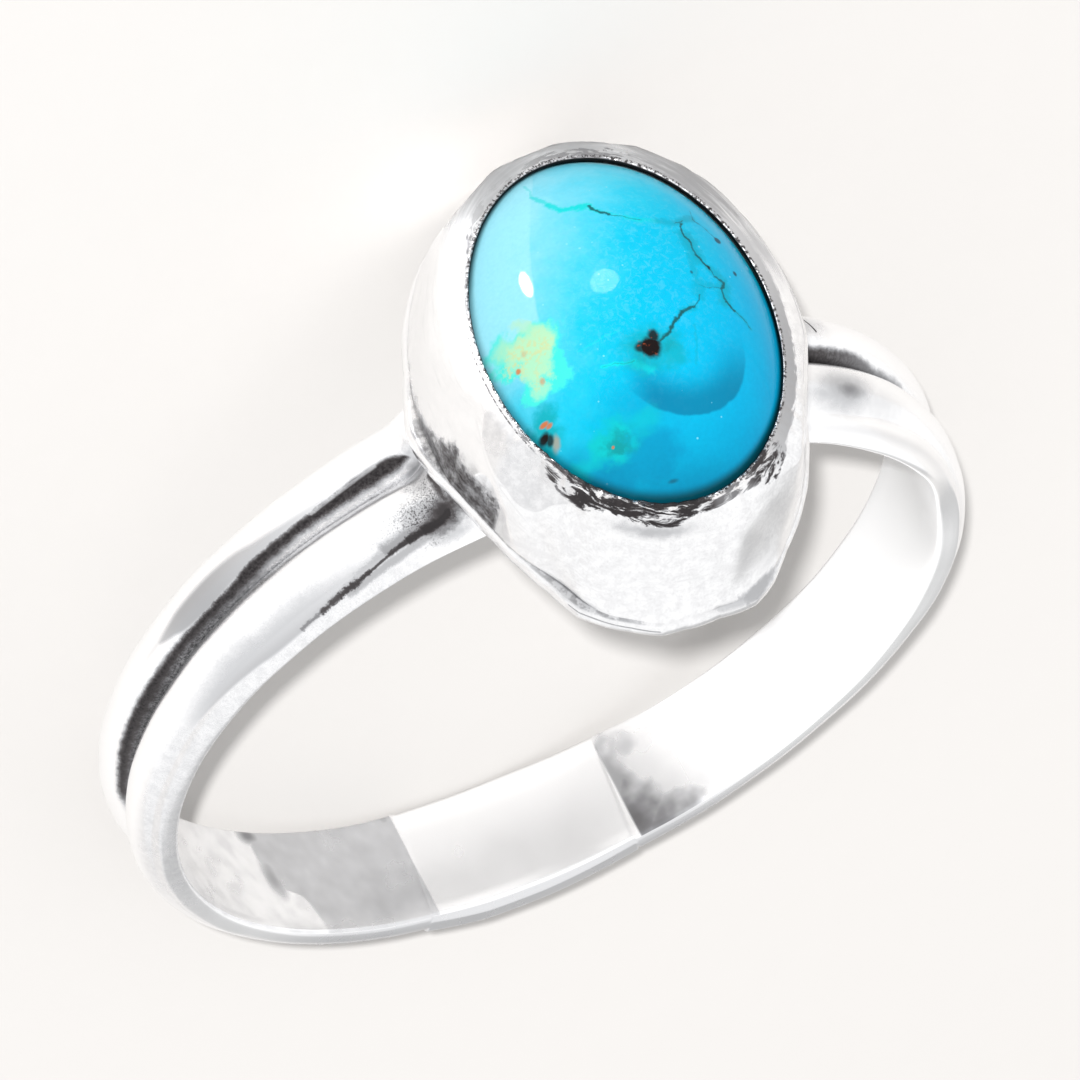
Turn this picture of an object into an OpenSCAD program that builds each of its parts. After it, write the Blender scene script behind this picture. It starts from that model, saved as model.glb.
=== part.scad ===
// Hand-made silver ring with an oval turquoise cabochon, lying on its side.
// The shank is a flat strap that carries two half-round ridges. An oval plate is soldered across
// it, and a heavy tapering bezel stands on the plate with its lip rubbed over the stone.
// Everything is first made round the finger's axis (Z), with the stone towards -Y, and then
// leans so that the plate's end and the back of the shank both touch the surface at Z = 0.
// All sizes are in millimetres.

/* [Finger hole] */
// Inner radius of the shank, finger size about 17.3 mm across
bore_r = 8.65; // [7.5:0.05:10.5]

/* [Shank] */
// Thickness of the flat strap under the ridges
strap_t = 0.35; // [0.25:0.05:0.6]
// Width of the bevel along each shoulder of the strap
strap_bevel = 0.4; // [0.1:0.05:0.5]
// Width of the strap at the setting
strap_w_top = 3.1; // [2.4:0.1:4]
// Width of the strap at the back of the finger
strap_w_back = 2.6; // [2:0.1:3.4]
// Radius of each half-round ridge
ridge_r = 0.65; // [0.5:0.05:0.8]
// Height of the ridges above the finger hole
ridge_h = 0.79; // [0.6:0.01:1.1]
// Offset of the upper ridge from the middle at the setting
upper_ridge_top = 0.42; // [0.3:0.01:0.8]
// Offset of the upper ridge from the middle at the back
upper_ridge_back = 0.7; // [0.5:0.01:0.8]
// Offset of the lower ridge from the middle at the setting
lower_ridge_top = 0.95; // [0.6:0.01:1.1]
// Offset of the lower ridge from the middle at the back
lower_ridge_back = 0.71; // [0.5:0.01:0.8]

/* [Sizing piece] */
// Width of the plain piece let into the back of the shank
insert_w = 2.8; // [2.7:0.02:3.1]
// Offset of its middle from the middle of the shank
insert_shift = 0.06; // [0:0.02:0.2]
// Length of its arc, degrees
insert_arc = 30.4; // [20:0.2:50]
// Part of that arc on the left of the back's middle, degrees
insert_left = 22.4; // [5:0.2:40]

/* [Setting] */
// Half the length of the base plate, along the finger
plate_a = 5.4; // [4.8:0.05:7]
// Half the width of the base plate, across the finger
plate_b = 4.05; // [3.9:0.05:5]
// Thickness of the base plate
plate_t = 0.35; // [0.25:0.05:0.6]
// Height of the plate's underside above the finger hole
plate_lift = 0.35; // [0.2:0.05:0.5]
// Turn of the setting about the stone's own axis, degrees
setting_turn = -8; // [-15:1:15]
// Height of the bezel's lip above the base plate
bezel_h = 2.5; // [2.3:0.05:3.2]

/* [Stone] */
// Half the width of the stone at its girdle
stone_b = 3.2; // [3:0.05:3.25]
// Height of the stone's straight side
stone_side = 2.05; // [1.6:0.05:2.1]
// Height of the dome above the straight side
stone_dome = 1.85; // [1.4:0.05:2.1]
// Gap between the stone and the silver
stone_gap = 0.1; // [0.06:0.01:0.12]

/* [Hidden] */
$fn = 96;
eps = 0.01;
overlap = 0.2; // how far joined parts of the silver run into each other
oval = plate_a / plate_b; // every oval of the setting keeps the plate's proportion

// The shank. The circle of each ridge's middle lies inside the strap's outer face.
strap_r = bore_r + strap_t;
strap_edge = 0.06; // flat left on the strap's sides, under the bevel
ridge_mid_r = bore_r + ridge_h - ridge_r;
insert_bevel = 0.3;
insert_r = bore_r + ridge_h + 0.02; // just proud of the ridges' crests
insert_edge_r = insert_r - insert_bevel;
insert_low = insert_w / 2 - insert_shift;
insert_high = insert_w / 2 + insert_shift;

// Heights from the finger's axis, up through the setting.
plate_y = bore_r + plate_lift;
plate_top = plate_y + plate_t;
seat_y = plate_top + stone_gap;
girdle_y = seat_y + stone_side;

// The solder seat under the plate.
saddle_top_w = 7.5;
saddle_foot_w = 8.4;
saddle_depth = 0.8;
saddle_low = lower_ridge_top + 0.45;
saddle_high = upper_ridge_top + 0.5;

// The stone. Its dome is the top of an egg-shaped solid a little wider than the girdle, and
// stands back from the girdle's edge by a hair, so that the two never share a curve.
stone_bevel = 0.25;
girdle_step = 0.02;
dome_b = stone_b * 1.045;
edge_share = sqrt(1 - pow((stone_b - girdle_step) / dome_b, 2));
dome_full = stone_dome / (1 - edge_share);
dome_mid = girdle_y - edge_share * dome_full;

// The bezel. A thin edge of the plate shows round the foot of the wall.
rim_ledge = 0.07;
wall_foot_r = plate_b - rim_ledge;
pocket_r = stone_b + stone_gap;
lip_gap = 1.35 * stone_gap; // measured across; square to the dome's slope it is the stone's gap

// The bezel's outer wall and its rounded lip, each row a height and a step in from the foot.
bezel_outside = [
    [0.00, 0.00],
    [1.00, 0.06],
    [2.00, 0.18],
    [2.20, 0.26],
    [2.36, 0.44],
    [2.46, 0.66],
    [2.50, 0.80]
];
outside_h = 2.5; // height to which that table is written

// Flat places filed into the wall, each row a turn about the stone's axis, a lean and a depth.
filed_flats = [
    [ 24,  7, 0.03],
    [ 56, 12, 0.04],
    [ 90, 15, 0.06],
    [126, 12, 0.07],
    [156,  8, 0.04],
    [204,  7, 0.03],
    [230, 11, 0.06],
    [254, 14, 0.12],
    [282, 15, 0.13],
    [308, 12, 0.08],
    [336,  7, 0.03]
];
file_cut = [3, 8, 4]; // the block that cuts each flat

// Reach of an oval with half width b, in the direction turned by a from its width.
function oval_reach(b, a) = b * norm([cos(a), oval * sin(a)]);

// Half width of the dome at height h above the girdle.
function dome_r(h) = dome_b * sqrt(1 - pow((girdle_y + h - dome_mid) / dome_full, 2));

// How the ring rests: the plate's end and the sizing piece's lower edge share one plane.
plate_end = norm([plate_a * cos(setting_turn), plate_b * sin(setting_turn)]);
lean = atan2(plate_end - insert_low, insert_edge_r + plate_y);
floor_drop = plate_end * cos(lean) - plate_y * sin(lean);

// The middle of the ring's reach in Y, so that the part stands over its own origin.
dome_end = dome_b * norm([oval * cos(setting_turn), sin(setting_turn)]);
reach_front = dome_mid * cos(lean) + norm([dome_full * cos(lean), dome_end * sin(lean)]);
reach_back = insert_r * cos(lean) + (insert_high - insert_bevel) * sin(lean);
shift_y = (reach_front - reach_back) / 2;

// Places what is made round the finger's axis so that it rests on the surface.
module lying() {
    translate([0, shift_y, floor_drop])
        rotate([-lean, 0, 0])
            children();
}

// Places what is made upright on the plate: its Z becomes the stone's axis, its Y the finger's.
module on_setting() {
    rotate([90, 0, 0])
        rotate([0, 0, setting_turn])
            children();
}

// A turned shape stretched along the finger, from a profile of radius and height.
module oval_turned(profile) {
    scale([1, oval, 1])
        rotate_extrude()
            polygon(profile);
}

// One half-round ridge: a ring of round wire that tilts a little, so its offset differs.
module ridge(offset_top, offset_back) {
    mid = (offset_top + offset_back) / 2;
    tilt = atan2(offset_top - offset_back, 2 * ridge_mid_r);
    translate([0, 0, mid])
        rotate([-tilt, 0, 0])
            rotate_extrude($fn = 180)
                translate([ridge_mid_r, 0])
                    circle(r = ridge_r, $fn = 40);
}

// The flat strap with bevelled shoulders, its sides leaning so that it is wider under the setting.
module strap() {
    half_top = strap_w_top / 2;
    mid_w = (strap_w_top + strap_w_back) / 2;
    side_tilt = atan2((strap_w_top - strap_w_back) / 2, 2 * strap_r);
    trim_w = 4 * strap_r;
    trim_h = 10;
    difference() {
        rotate_extrude($fn = 180)
            polygon([
                [bore_r - overlap, -half_top],
                [bore_r + strap_edge, -half_top],
                [strap_r, -half_top + strap_bevel],
                [strap_r, half_top - strap_bevel],
                [bore_r + strap_edge, half_top],
                [bore_r - overlap, half_top]
            ]);
        for (s = [1, -1])
            translate([0, 0, s * mid_w / 2])
                rotate([-s * side_tilt, 0, 0])
                    translate([0, 0, s * trim_h / 2])
                        cube([trim_w, trim_w, trim_h], center = true);
    }
}

// The plain piece that was let into the back when the ring was sized.
module sizing_piece() {
    rotate([0, 0, 90 + insert_left - insert_arc])
        rotate_extrude(angle = insert_arc, $fn = 180)
            polygon([
                [bore_r - overlap / 2, -insert_low],
                [insert_edge_r, -insert_low],
                [insert_r, -insert_low + insert_bevel],
                [insert_r, insert_high - insert_bevel],
                [insert_edge_r, insert_high],
                [bore_r - overlap / 2, insert_high]
            ]);
}

// Solder seat that fills the wedges between the round shank and the flat plate.
module saddle() {
    deep_y = plate_y - saddle_depth;
    translate([0, 0, -saddle_low])
        linear_extrude(saddle_low + saddle_high)
            polygon([
                [-saddle_top_w / 2, -plate_y - eps],
                [saddle_top_w / 2, -plate_y - eps],
                [saddle_foot_w / 2, -deep_y],
                [-saddle_foot_w / 2, -deep_y]
            ]);
}

// The base plate and the solid bezel before the stone's pocket is cut.
module plate_and_bezel() {
    on_setting() {
        translate([0, 0, plate_y])
            scale([1, oval, 1])
                cylinder(r = plate_b, h = plate_t);
        difference() {
            translate([0, 0, plate_top - eps])
                oval_turned(concat(
                    [[0, 0]],
                    [for (p = bezel_outside) [wall_foot_r - p[1], p[0] * bezel_h / outside_h + eps]],
                    [[0, bezel_h + eps]]));
            for (f = filed_flats)
                rotate([0, 0, f[0]])
                    translate([oval_reach(wall_foot_r, f[0]) - f[2], 0, plate_top])
                        rotate([0, -f[1], 0])
                            translate([0, -file_cut[1] / 2, 0])
                                cube(file_cut);
        }
    }
}

// The stone's pocket: straight up to the stone's edge, then closing over the foot of the dome.
module pocket() {
    top = bezel_h + 0.1; // runs out through the lip
    edge = girdle_y - plate_top;
    edge_clear = 0.05; // height of the straight side above the girdle
    close_h = 0.3; // height above the girdle where the pocket follows the dome
    on_setting()
        translate([0, 0, plate_top])
            oval_turned([
                [0, 0],
                [pocket_r, 0],
                [pocket_r, edge + edge_clear],
                [dome_r(close_h) + lip_gap, edge + close_h],
                [dome_r(top - edge) + lip_gap, top],
                [0, top]
            ]);
}

module silver_ring() {
    bore_run = 8; // longer than the shank is wide, and clear of the bezel
    color([0.86, 0.86, 0.87])
        lying()
            difference() {
                union() {
                    strap();
                    ridge(upper_ridge_top, upper_ridge_back);
                    ridge(-lower_ridge_top, -lower_ridge_back);
                    sizing_piece();
                    saddle();
                    plate_and_bezel();
                }
                cylinder(r = bore_r, h = bore_run, center = true, $fn = 180);
                pocket();
            }
}

module turquoise_stone() {
    block = 20; // larger than the dome
    color([0.1, 0.72, 0.86])
        lying()
            on_setting() {
                translate([0, 0, seat_y])
                    oval_turned([
                        [0, 0],
                        [stone_b - stone_bevel, 0],
                        [stone_b, stone_bevel],
                        [stone_b, stone_side],
                        [0, stone_side]
                    ]);
                intersection() {
                    translate([0, 0, dome_mid])
                        scale([dome_b, dome_b * oval, dome_full])
                            sphere(r = 1, $fn = 128);
                    translate([-block / 2, -block / 2, girdle_y])
                        cube(block);
                }
            }
}

silver_ring();
turquoise_stone();
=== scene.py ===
import math

import bpy
import numpy as np
from mathutils import Matrix, Vector


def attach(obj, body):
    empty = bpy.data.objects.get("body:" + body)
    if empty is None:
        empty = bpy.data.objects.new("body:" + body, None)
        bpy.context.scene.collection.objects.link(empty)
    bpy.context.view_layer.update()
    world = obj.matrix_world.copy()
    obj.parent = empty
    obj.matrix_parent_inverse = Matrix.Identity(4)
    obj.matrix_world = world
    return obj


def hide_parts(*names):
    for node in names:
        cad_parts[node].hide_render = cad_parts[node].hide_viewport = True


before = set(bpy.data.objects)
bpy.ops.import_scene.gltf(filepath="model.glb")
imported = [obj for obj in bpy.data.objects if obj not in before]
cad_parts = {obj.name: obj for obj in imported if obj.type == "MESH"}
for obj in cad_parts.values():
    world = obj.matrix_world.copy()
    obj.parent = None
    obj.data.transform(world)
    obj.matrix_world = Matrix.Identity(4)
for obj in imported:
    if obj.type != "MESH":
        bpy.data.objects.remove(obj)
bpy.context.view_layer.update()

# Camera
# A long lens, 40 cm away and well above the table, looks down on the ring as it lies on its side.
# It is rolled, so that the stone is at the top of the picture and the back of the shank at the bottom.
camera_turn, camera_rise, camera_roll = (math.radians(a) for a in (-64.46724, 36.25863, 146.12664))
camera_away = 0.4
aim = Vector((-0.00067930, 0.00052122, 0.00204971))
picture_back = Vector((math.cos(camera_rise) * math.cos(camera_turn),
                       math.cos(camera_rise) * math.sin(camera_turn), math.sin(camera_rise)))
level = Vector((0, 0, 1)).cross(picture_back).normalized()
picture_right = level * math.cos(camera_roll) + picture_back.cross(level) * math.sin(camera_roll)
picture_up = picture_back.cross(picture_right)


def stand(name, data):
    """Puts an object in the scene."""
    made = bpy.data.objects.new(name, data)
    bpy.context.scene.collection.objects.link(made)
    return made


lens = bpy.data.cameras.new("camera")
lens.sensor_width = 36.0
lens.lens = 646.794
lens.clip_start = 0.02
lens.clip_end = 20.0
camera = stand("camera", lens)
facing_back = Matrix((picture_right, picture_up, picture_back)).transposed().to_4x4()
camera.matrix_world = Matrix.Translation(aim + picture_back * camera_away) @ facing_back
bpy.context.scene.camera = camera
bpy.context.scene.view_settings.view_transform = "Standard"

# Shank
# The band round the finger: a flat silver strap with two half-round wires soldered along it and a
# plain piece let into the back when the ring was made larger. Oxide was left in the groove between
# the wires, and solder fills the corner under the setting. Sizes are in mm.
bore_r = 8.65
crown_r = 9.44
wire_r = 0.65
wire_mid_r = crown_r - wire_r
plate_a, plate_b = 5.4, 4.05
plate_under, plate_top = 9.0, 9.35
setting_turn = math.radians(-8)
oval = plate_a / plate_b

# The stone's dome is the top of an oval egg, a little wider than the stone's edge.
stone_b, girdle, dome_height = 3.2, 11.5, 1.85
dome_b = stone_b * 1.045
edge_share = math.sqrt(1 - ((stone_b - 0.02) / dome_b) ** 2)
dome_full = dome_height / (1 - edge_share)
dome_mid = girdle - edge_share * dome_full

# The ring rests on the end of its base plate and on the lower edge of the plain piece at the back.
plain_half, plain_shift, plain_bevel = 1.4, 0.06, 0.3
plain_r = crown_r + 0.02
plate_end = math.hypot(plate_a * math.cos(setting_turn), plate_b * math.sin(setting_turn))
lean = math.atan2(plate_end - (plain_half - plain_shift), plain_r - plain_bevel + plate_under)
lean_cos, lean_sin = math.cos(lean), math.sin(lean)
axis_height = plate_end * lean_cos - plate_under * lean_sin
dome_end = dome_b * math.hypot(oval * math.cos(setting_turn), math.sin(setting_turn))
reach_front = dome_mid * lean_cos + math.hypot(dome_full * lean_cos, dome_end * lean_sin)
reach_back = plain_r * lean_cos + (plain_half + plain_shift - plain_bevel) * lean_sin
axis_shift = (reach_front - reach_back) / 2

# Columns: turn from the stone in degrees, above 0 to the picture's left, and a place along the finger.
near_edge = [
    (0, 1.6), (22, 1.58), (30, 1.49), (38, 1.44), (48, 1.38), (58, 1.35), (72, 1.31), (126, 1.33),
    (150, 1.36), (168, 1.36), (190, 1.36), (205, 1.34), (240, 1.36), (262, 1.38), (272, 1.42), (280, 1.34),
    (287, 1.27), (294, 1.44), (302, 1.66), (314, 1.69), (328, 1.62)]
far_edge = [
    (0, -1.55), (60, -1.48), (120, -1.34), (168, -1.27), (178, -1.34), (189, -1.36), (202, -1.28),
    (216, -1.16), (245, -1.16), (275, -1.26), (300, -1.42), (330, -1.52)]
near_wire = [
    (0, 0.44), (20, 0.44), (28, 0.36), (37, 0.3), (50, 0.28), (61, 0.34), (76, 0.42), (100, 0.53),
    (140, 0.64), (168, 0.69), (204, 0.69), (235, 0.66), (250, 0.7), (262, 0.79), (274, 0.8), (284, 0.7),
    (294, 0.52), (308, 0.42), (325, 0.4), (338, 0.42)]
far_wire = [(0, -0.95), (60, -0.89), (120, -0.77), (180, -0.71), (240, -0.77), (300, -0.80), (325, -0.84)]
crease_depth = [(0, 1.0), (40, 1.0), (52, 0.6), (66, 0.0), (290, 0.0), (312, 0.25), (335, 0.8)]
back_bulge = [(170.0, 0.0), (174, 0.05), (180, 0.10), (188, 0.09), (196, 0.04), (202.2, 0.0)]
left_seam, right_seam = 171.2, 202.2


def by_turn(rows, turn, blur=4.0):
    """Values between a table's rows, eased over blur degrees and closed round the finger."""
    fine = np.arange(0, 360, 0.25)
    values = np.interp(fine, *np.array(sorted(rows)).T, period=360)
    near = np.minimum(fine, 360 - fine)
    weight = np.exp(-0.5 * (near / blur) ** 2)
    eased = np.fft.ifft(np.fft.fft(values) * np.fft.fft(weight / weight.sum())).real
    return np.interp(turn % 360, fine, eased, period=360)


def eased_step(low, high, x):
    t = np.clip((x - low) / (high - low), 0, 1)
    return t * t * (3 - 2 * t)


def hand_wave(u, v, size, waves):
    """Small uneven swells left by hand work, from a few slanting waves over u (degrees) and v."""
    total = 0
    for per_turn, per_v, phase in waves:
        total = total + np.sin(np.radians(u) * per_turn + v * per_v + phase)
    return size * total / len(waves)


def lying(points):
    """Points in mm round the finger's axis, put where the ring rests on the table, in metres."""
    x, y, z = points[..., 0], points[..., 1], points[..., 2]
    laid = [x, y * lean_cos + z * lean_sin + axis_shift, z * lean_cos - y * lean_sin + axis_height]
    return np.stack(laid, -1) / 1000


def skin(name, grid, close_rows=True, fans=()):
    """A smooth mesh over a grid of points, closed along each row; fans are (row, centre point)."""
    rows, cols = grid.shape[:2]
    points = grid.reshape(-1, 3).tolist() + [list(centre) for _, centre in fans]
    faces = []
    for i in range(rows if close_rows else rows - 1):
        a, b = i * cols, (i + 1) % rows * cols
        faces += [(a + j, a + (j + 1) % cols, b + (j + 1) % cols, b + j) for j in range(cols)]
    for k, (row, _) in enumerate(fans):
        a, top = row % rows * cols, rows * cols + k
        ring = [(a + (j + 1) % cols, a + j, top) for j in range(cols)]
        faces += [f[::-1] for f in ring] if row else ring
    mesh = bpy.data.meshes.new(name)
    mesh.from_pydata(points, [], faces)
    mesh.shade_smooth()
    mesh.update()
    return stand(name, mesh)


def shank_sections(turn):
    """The outline of the band at each turn, as (radius, place along the finger), closed the same way."""
    n = len(turn)
    top, low = by_turn(near_edge, turn), by_turn(far_edge, turn)
    zn, zf = by_turn(near_wire, turn), by_turn(far_wire, turn)
    crease = by_turn(crease_depth, turn)
    edge = 0.12
    col = lambda v: np.broadcast_to(np.asarray(v, float).reshape(-1, 1) if np.ndim(v) == 1 else v, (n, 1))
    mix = lambda a, b, t: a + (b - a) * t
    parts = []

    def add(r, z):
        size = (n, r.shape[-1])
        parts.append(np.stack([np.broadcast_to(r, size), np.broadcast_to(z, size)], -1))

    # inside face, from the far edge to the near one
    t = np.linspace(0, 1, 12)[None]
    add(bore_r + 0 * t, mix(col(low) + edge, col(top) - edge, t))
    # near edge, rounded
    a = np.radians(np.linspace(15, 90, 5))[None]
    add(bore_r + edge - edge * np.cos(a), col(top) - edge + edge * np.sin(a))
    # near side face, from the edge to the foot of the near wire
    foot = np.radians(mix(33, 17, col(crease)))
    fr, fz = wire_mid_r + wire_r * np.sin(foot), col(zn) + wire_r * np.cos(foot)
    er, ez = bore_r + edge + 0.02, col(top)
    t = np.linspace(0.08, 1, 8)[None]
    bulge = mix(0.10, -0.035, col(crease)) * np.sin(np.pi * t) * np.where(t > 0.5, 1.0, 0.8)
    add(mix(er, fr, t) + bulge * 0.6, mix(ez, fz, t) + bulge * 0.8)
    # near wire over its crest, into the groove
    half = (zn - zf) / 2
    meet = np.pi - np.arccos(np.clip(half / wire_r, 0.2, 0.956))
    t = np.linspace(0.04, 0.97, 22)[None]
    b = mix(foot, col(meet), t)
    add(wire_mid_r + wire_r * np.sin(b), col(zn) + wire_r * np.cos(b))
    # floor of the groove
    rm = wire_mid_r + wire_r * np.sin(col(meet))
    za, zb = col(zn) + wire_r * np.cos(col(meet)), col(zf) - wire_r * np.cos(col(meet))
    t = np.linspace(0.0, 1, 5)[None]
    add(rm - 0.02 - 0.03 * np.sin(np.pi * t), mix(za, zb, t))
    # far wire
    foot2 = np.radians(mix(36, 20, col(crease)))
    t = np.linspace(0.03, 0.96, 22)[None]
    b = mix(np.pi - col(meet), np.pi - foot2, t)
    add(wire_mid_r + wire_r * np.sin(b), col(zf) + wire_r * np.cos(b))
    # far side face and edge
    fr, fz = wire_mid_r + wire_r * np.sin(foot2), col(zf) - wire_r * np.cos(foot2)
    t = np.linspace(0, 0.92, 7)[None]
    add(mix(fr, er, t) + 0.04 * np.sin(np.pi * t), mix(fz, col(low), t) - 0.03 * np.sin(np.pi * t))
    a = np.radians(np.linspace(90, 15, 5))[None]
    add(bore_r + edge - edge * np.cos(a), col(low) + edge - edge * np.sin(a))
    return np.concatenate(parts, 1)


def plain_sections(turn):
    """The same outline where the plain piece is: a flat band with softly rounded corners."""
    top, low = by_turn(near_edge, turn, 1.0), by_turn(far_edge, turn, 2.0)
    side = top + np.interp(turn, *np.array(back_bulge).T)
    # stretches of the outline: inside, near edge, near side, crest, far side, far edge
    corners = [
        (12, (bore_r, low + 0.12), (bore_r, top - 0.14)),
        (5, (bore_r + 0.01, top - 0.09), (bore_r + 0.12, side - 0.01)),
        (8, (bore_r + 0.16, side), (crown_r - 0.26, side - 0.02)),
        (49, (crown_r - 0.14, side - 0.09), (crown_r - 0.14, low + 0.13)),
        (7, (crown_r - 0.26, low + 0.02), (bore_r + 0.16, low)),
        (5, (bore_r + 0.12, low), (bore_r + 0.01, low + 0.09))]
    parts = []
    for count, start, end in corners:
        t = np.linspace(0, 1, count)[None]
        r = start[0] + (end[0] - start[0]) * t + 0 * turn[:, None]
        z = start[1][:, None] + (end[1] - start[1])[:, None] * t
        if count == 49:
            r = r + 0.14 * (1 - np.abs(2 * t - 1) ** 3.2)
        parts.append(np.stack([r, z], -1))
    return np.concatenate(parts, 1)


turn = np.unique(np.concatenate([
    np.arange(0, 360, 0.45),
    [seam + d for seam in (left_seam, right_seam)
     for d in (-0.7, -0.45, -0.25, -0.12, 0, 0.12, 0.25, 0.45, 0.7)]]))
turn = turn[np.concatenate([[True], np.diff(turn) > 0.07])]
wires, plain = shank_sections(turn), plain_sections(turn)
plain_share = eased_step(left_seam - 0.2, left_seam + 0.2, turn)
plain_share = plain_share - eased_step(right_seam - 0.2, right_seam + 0.2, turn)
section = wires + (plain - wires) * plain_share[:, None, None]
radius, along = section[..., 0], section[..., 1]
outside = eased_step(bore_r + 0.02, bore_r + 0.25, radius)

# small swells of the hand-filed wires, and a shallow notch along each seam
swell = hand_wave(turn[:, None], along * 0.7, 0.014,
                  [(9, 1.1, 0.3), (17, -2.3, 1.9), (31, 1.7, 4.0), (5, 0.4, 2.2)])
radius = radius + swell * outside
along = along + hand_wave(turn[:, None], 0 * along, 0.012, [(7, 0, 0.9), (13, 0, 3.3), (23, 0, 5.1)])
for seam in (left_seam, right_seam):
    notch = np.exp(-((turn - seam) / 0.22) ** 2)[:, None]
    radius = radius + notch * np.where(outside > 0.5, -0.035, 0.012)

# solder rises from the wires to the underside of the plate
from_stone = np.minimum(turn, 360 - turn)[:, None]
roof = plate_under / np.cos(np.radians(np.minimum(from_stone, 40))) + 0.02
fill = eased_step(27.5, 20.5, from_stone) * outside * eased_step(1.50, 1.15, np.abs(along + 0.2))
radius = np.where(roof > radius, radius + (roof - radius) * fill, radius)
radius = np.where(from_stone < 19, np.minimum(radius, roof), radius)

# the seams run a little slanting across the band
slant = np.interp(turn, [0, 150, 171, 202, 222, 360], [0, 0, -0.85, -0.56, 0, 0])[:, None] * along
around = np.radians(turn[:, None] + slant)
points = np.stack([radius * np.sin(around), -radius * np.cos(around), along], -1)
shank = skin("shank", lying(points))


class Measure:
    """A number, place or colour that changes over a surface. What is done with it becomes shader nodes."""

    def __init__(self, tree, socket):
        self.tree, self.socket = tree, socket

    def into(self, socket):
        self.tree.links.new(self.socket, socket)

    def maths(self, work, *others, clamp=False):
        return put(self.tree, "Math", dict(enumerate([self, *others])), operation=work, use_clamp=clamp)[0]

    def __add__(self, other):
        return self.maths("ADD", other)

    def __sub__(self, other):
        return self.maths("SUBTRACT", other)

    def __rsub__(self, other):
        return put(self.tree, "Math", {0: other, 1: self}, operation="SUBTRACT")[0]

    def __mul__(self, other):
        return self.maths("MULTIPLY", other)

    def __truediv__(self, other):
        return self.maths("DIVIDE", other)

    def vector(self, work, other):
        """The same for places. A dot product or a distance is a plain number."""
        fill = {0: self, "Scale" if work == "SCALE" else 1: other}
        made = put(self.tree, "VectorMath", fill, operation=work)
        return made["Value" if work in ("DOT_PRODUCT", "DISTANCE") else "Vector"]

    def between(self, low, high, to_low=0.0, to_high=1.0):
        """This number, eased from to_low to to_high as it goes from low to high."""
        fill = {0: self, 1: low, 2: high, 3: to_low, 4: to_high}
        return put(self.tree, "MapRange", fill, interpolation_type="SMOOTHSTEP")[0]

    def follow(self, rows):
        """The eased value of a table, read at this number."""
        reads, values = zip(*rows)
        first, last, low, high = reads[0], reads[-1], min(values), max(values)
        places = [((read - first) / (last - first), (value - low) / (high - low)) for read, value in rows]
        share = put(self.tree, "MapRange", {0: self, 1: first, 2: last})[0]
        curved = put(self.tree, "FloatCurve", {1: share})[0]
        mapping = curved.socket.node.mapping
        points = mapping.curves[0].points
        points[0].location, points[-1].location = places[0], places[-1]
        for place in places[1:-1]:
            points.new(*place)
        mapping.update()
        return curved * (high - low) + low


def put(tree, kind, fill=None, **settings):
    """Adds a shader node, fills its sockets by name or number, and gives its outputs in the same way."""
    made = tree.nodes.new("ShaderNode" + kind)
    for key, value in settings.items():
        setattr(made, key, value)
    for key, value in (fill or {}).items():
        if isinstance(value, Measure):
            value.into(made.inputs[key])
        else:
            made.inputs[key].default_value = value
    gives = [Measure(tree, socket) for socket in made.outputs]
    return dict(enumerate(gives)) | {given.socket.name: given for given in gives}


def use(tree, group, fill=None):
    """Places a node group, with its own values."""
    return put(tree, "Group", fill, node_tree=group)


def new_group(name, takes, gives):
    """An empty node group. Takes is {name: value}, three numbers for a vector; gives is {name: kind}."""
    group = bpy.data.node_groups.new(name, "ShaderNodeTree")
    for label, value in takes.items():
        kind = "NodeSocketVector" if isinstance(value, tuple) else "NodeSocketFloat"
        group.interface.new_socket(label, in_out="INPUT", socket_type=kind).default_value = value
    for label, kind in gives.items():
        group.interface.new_socket(label, in_out="OUTPUT", socket_type="NodeSocket" + kind)
    taken = group.nodes.new("NodeGroupInput").outputs
    return group, {s.name: Measure(group, s) for s in taken}, group.nodes.new("NodeGroupOutput").inputs


def noise(place, scale, detail, roughness=0.5, distortion=0.0):
    fill = {
        "Vector": place, "Scale": scale, "Detail": detail, "Roughness": roughness, "Distortion": distortion}
    return put(place.tree, "TexNoise", fill)[0]


def length(across, up):
    return (across * across + up * up).maths("SQRT")


def place_group(name, more, axes, offsets):
    """A group that turns the object's coordinates into places on a part, in mm along three axes."""
    group, _, out = new_group(name, {}, {"Place": "Vector"} | {label: "Float" for label in more})
    here = put(group, "TexCoord")["Object"]
    told = []
    for axis, offset in zip(axes, offsets):
        told.append(here.vector("DOT_PRODUCT", [1000 * a for a in axis]) + offset)
    put(group, "CombineXYZ", dict(enumerate(told)))[0].into(out["Place"])
    return group, told, out


finger_axes = [(1, 0, 0), (0, lean_cos, -lean_sin), (0, lean_sin, lean_cos)]
finger_offsets = [
    0, -axis_shift * lean_cos + axis_height * lean_sin, -axis_shift * lean_sin - axis_height * lean_cos]
on_shank, (x, y, z), out = place_group(
    "place on the shank", ["Turn", "Radius", "Along"], finger_axes, finger_offsets)
z.into(out["Along"])
x.maths("ARCTAN2", y * -1.0).maths("DEGREES").into(out["Turn"])
length(x, y).into(out["Radius"])

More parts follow.
